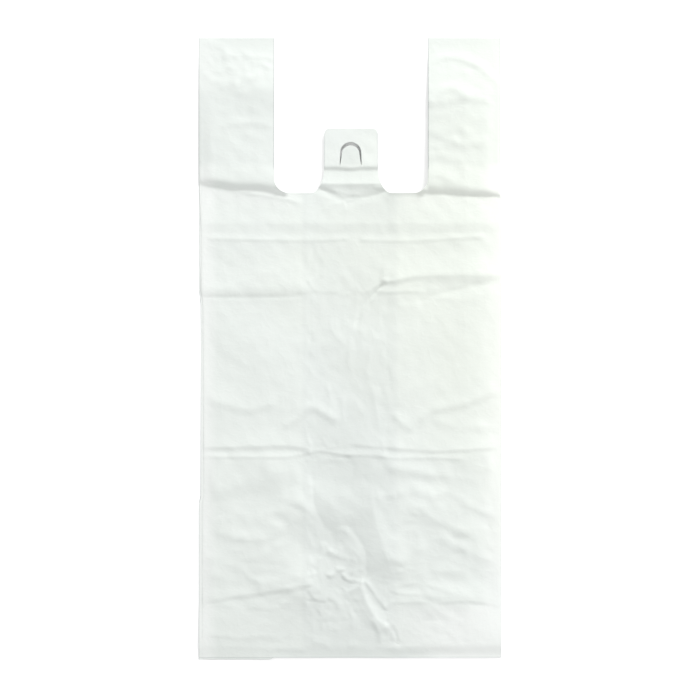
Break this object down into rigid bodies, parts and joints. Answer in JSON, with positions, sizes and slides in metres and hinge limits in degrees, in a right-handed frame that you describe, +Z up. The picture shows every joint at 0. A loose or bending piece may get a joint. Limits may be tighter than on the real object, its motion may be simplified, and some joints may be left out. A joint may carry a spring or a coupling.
{
  "type": "plastic carrier bag",
  "caption": "Empty vest-type carrier bag of thin white film, lying flat: side gussets, welded bottom and handle tops, a hanging tab with an arch-shaped slit, and fold marks.",
  "frame": {"origin": "middle of the flat bag's outline, on the surface that its back lies on", "axes": "+X across the bag to the right seen from above, +Y along the bag to its handles, +Z up, out of the front panel"},
  "size_m": [0.3, 0.616, 0.005],
  "materials": {
    "film": "satin"
  },
  "bodies": {
    "root": {"bag": "film"}
  },
  "joints": []
}
